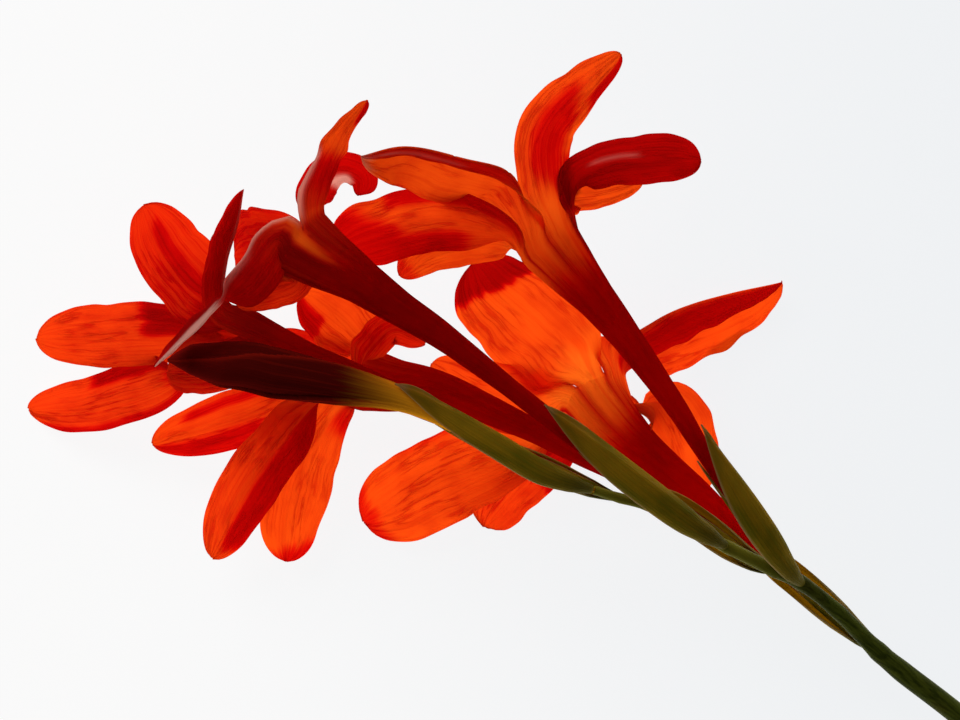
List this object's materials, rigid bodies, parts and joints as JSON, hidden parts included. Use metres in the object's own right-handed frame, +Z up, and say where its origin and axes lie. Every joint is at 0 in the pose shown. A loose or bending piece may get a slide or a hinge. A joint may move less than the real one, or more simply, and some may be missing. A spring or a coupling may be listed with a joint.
{
  "type": "cut gladiolus",
  "caption": "Cut gladiolus flower spike lying on its side: open trumpet flowers on slender curved tubes, a closed bud at the tip, green spathe bracts and a bare stem.",
  "frame": {"origin": "middle of the spike's outline, on the surface that it lies on", "axes": "+Z up from the surface, +X along the lying spike's longest way, from the flowers toward the cut end, +Y across it"},
  "size_m": [0.2761, 0.2059, 0.0649],
  "materials": {
    "petal": "fresh petal tissue, thin, orange-red, satin",
    "bud": "fresh closed bud, dark maroon, satin",
    "anther": "fresh anthers and filaments, pale, matte",
    "stem": "fresh green stem, satin",
    "bract": "fresh olive-green bract, satin, ribbed lengthwise"
  },
  "bodies": {
    "root": {"stem": "stem", "perianth_1": "petal", "perianth_2": "petal", "perianth_3": "petal", "perianth_4": "petal", "perianth_5": "petal", "bud_6": "bud", "stamens_1": "anther", "stamens_2": "anther", "stamens_3": "anther", "stamens_4": "anther", "stamens_5": "anther", "inner_bract_1": "bract", "inner_bract_2": "bract", "inner_bract_3": "bract", "inner_bract_4": "bract", "inner_bract_5": "bract", "inner_bract_6": "bract", "outer_bract_1": "bract", "outer_bract_2": "bract", "outer_bract_3": "bract", "outer_bract_4": "bract", "outer_bract_5": "bract", "outer_bract_6": "bract"}
  },
  "joints": []
}
